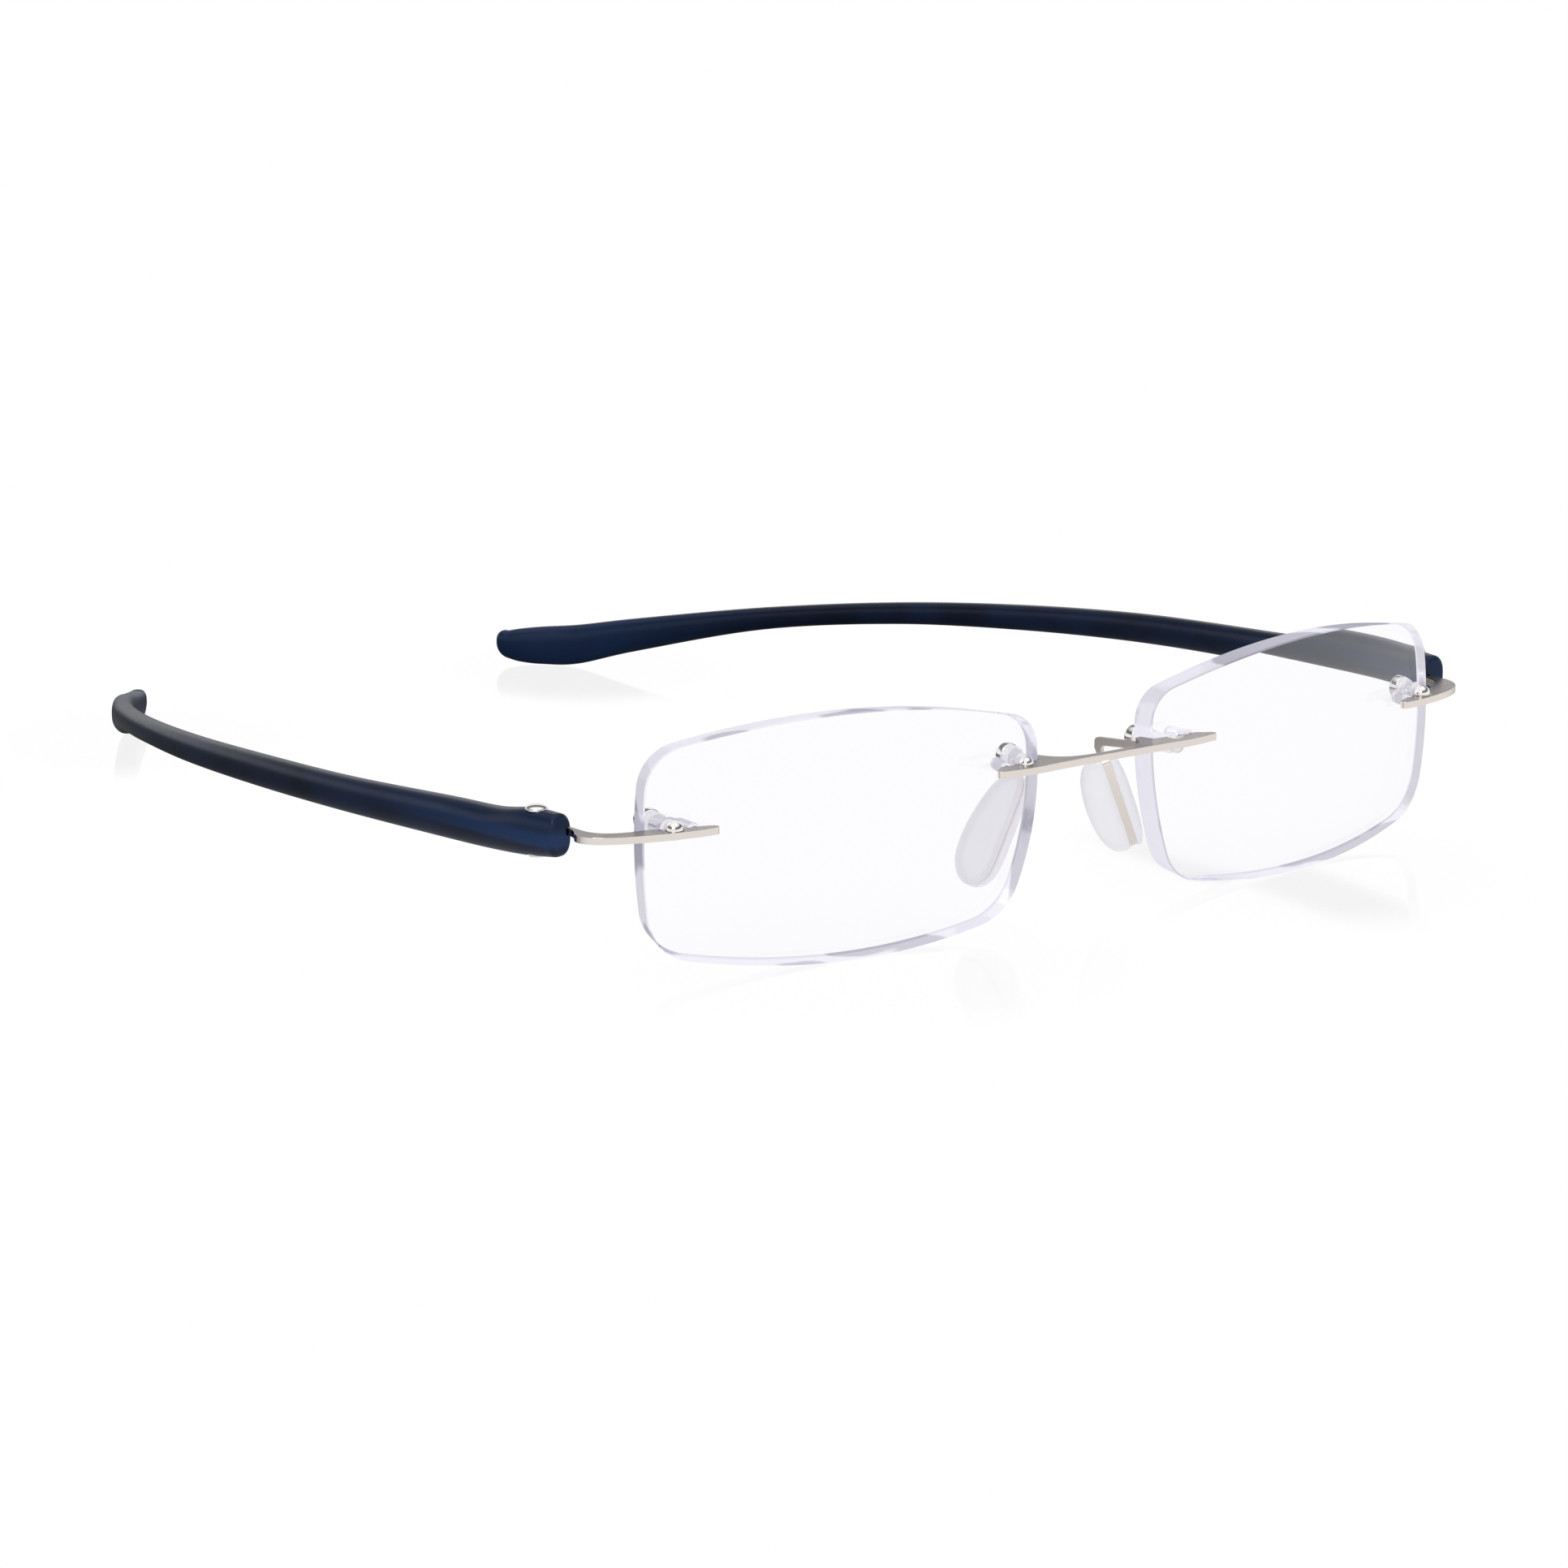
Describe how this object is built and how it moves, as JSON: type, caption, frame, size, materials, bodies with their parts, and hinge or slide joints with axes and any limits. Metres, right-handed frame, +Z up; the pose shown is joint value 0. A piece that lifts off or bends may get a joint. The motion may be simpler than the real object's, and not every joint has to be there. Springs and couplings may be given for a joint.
{
  "type": "rimless eyeglasses",
  "caption": "Rimless reading glasses: drilled clear lenses held by flat metal plates, silicone nose pads and slim curved temples that fold.",
  "frame": {"origin": "middle of the top face of the bridge plate", "axes": "+Z up, +X towards the wearer's left, -Y the way the wearer looks"},
  "size_m": [0.1398, 0.16, 0.0279],
  "materials": {
    "lens_clear": "polished",
    "satin_nickel": "satin",
    "polished_chrome": "polished",
    "clear_plastic": "clear, polished",
    "pad_silicone": "frosted, translucent",
    "navy_plastic": "matte with a soft sheen",
    "washer_nylon": "matte"
  },
  "bodies": {
    "front": {"bridge_plate": "satin_nickel", "lens_left": "lens_clear", "end_plate_left": "satin_nickel", "pin_temporal_left": "polished_chrome", "sleeve_temporal_left": "clear_plastic", "cap_temporal_left": "polished_chrome", "peg_temporal_left": "clear_plastic", "pin_nasal_left": "polished_chrome", "sleeve_nasal_left": "clear_plastic", "cap_nasal_left": "polished_chrome", "peg_nasal_left": "clear_plastic", "pad_arm_left": "satin_nickel", "nose_pad_left": "pad_silicone", "lens_right": "lens_clear", "end_plate_right": "satin_nickel", "pin_temporal_right": "polished_chrome", "sleeve_temporal_right": "clear_plastic", "cap_temporal_right": "polished_chrome", "peg_temporal_right": "clear_plastic", "pin_nasal_right": "polished_chrome", "sleeve_nasal_right": "clear_plastic", "cap_nasal_right": "polished_chrome", "peg_nasal_right": "clear_plastic", "pad_arm_right": "satin_nickel", "nose_pad_right": "pad_silicone"},
    "temple_left_body": {"temple_left": "navy_plastic", "hinge_rivet_left": "polished_chrome", "washer_upper_left": "washer_nylon", "washer_lower_left": "washer_nylon"},
    "temple_right_body": {"temple_right": "navy_plastic", "hinge_rivet_right": "polished_chrome", "washer_upper_right": "washer_nylon", "washer_lower_right": "washer_nylon"}
  },
  "joints": [
    {"name": "fold_left", "type": "hinge", "parent": "front", "child": "temple_left_body", "pos_m": [0.0663, 0.01845, -0.0024], "axis": [0, 0, 1], "range_deg": [0, 76]},
    {"name": "fold_right", "type": "hinge", "parent": "front", "child": "temple_right_body", "pos_m": [-0.0663, 0.01845, -0.0024], "axis": [0, 0, -1], "range_deg": [0, 60]}
  ]
}
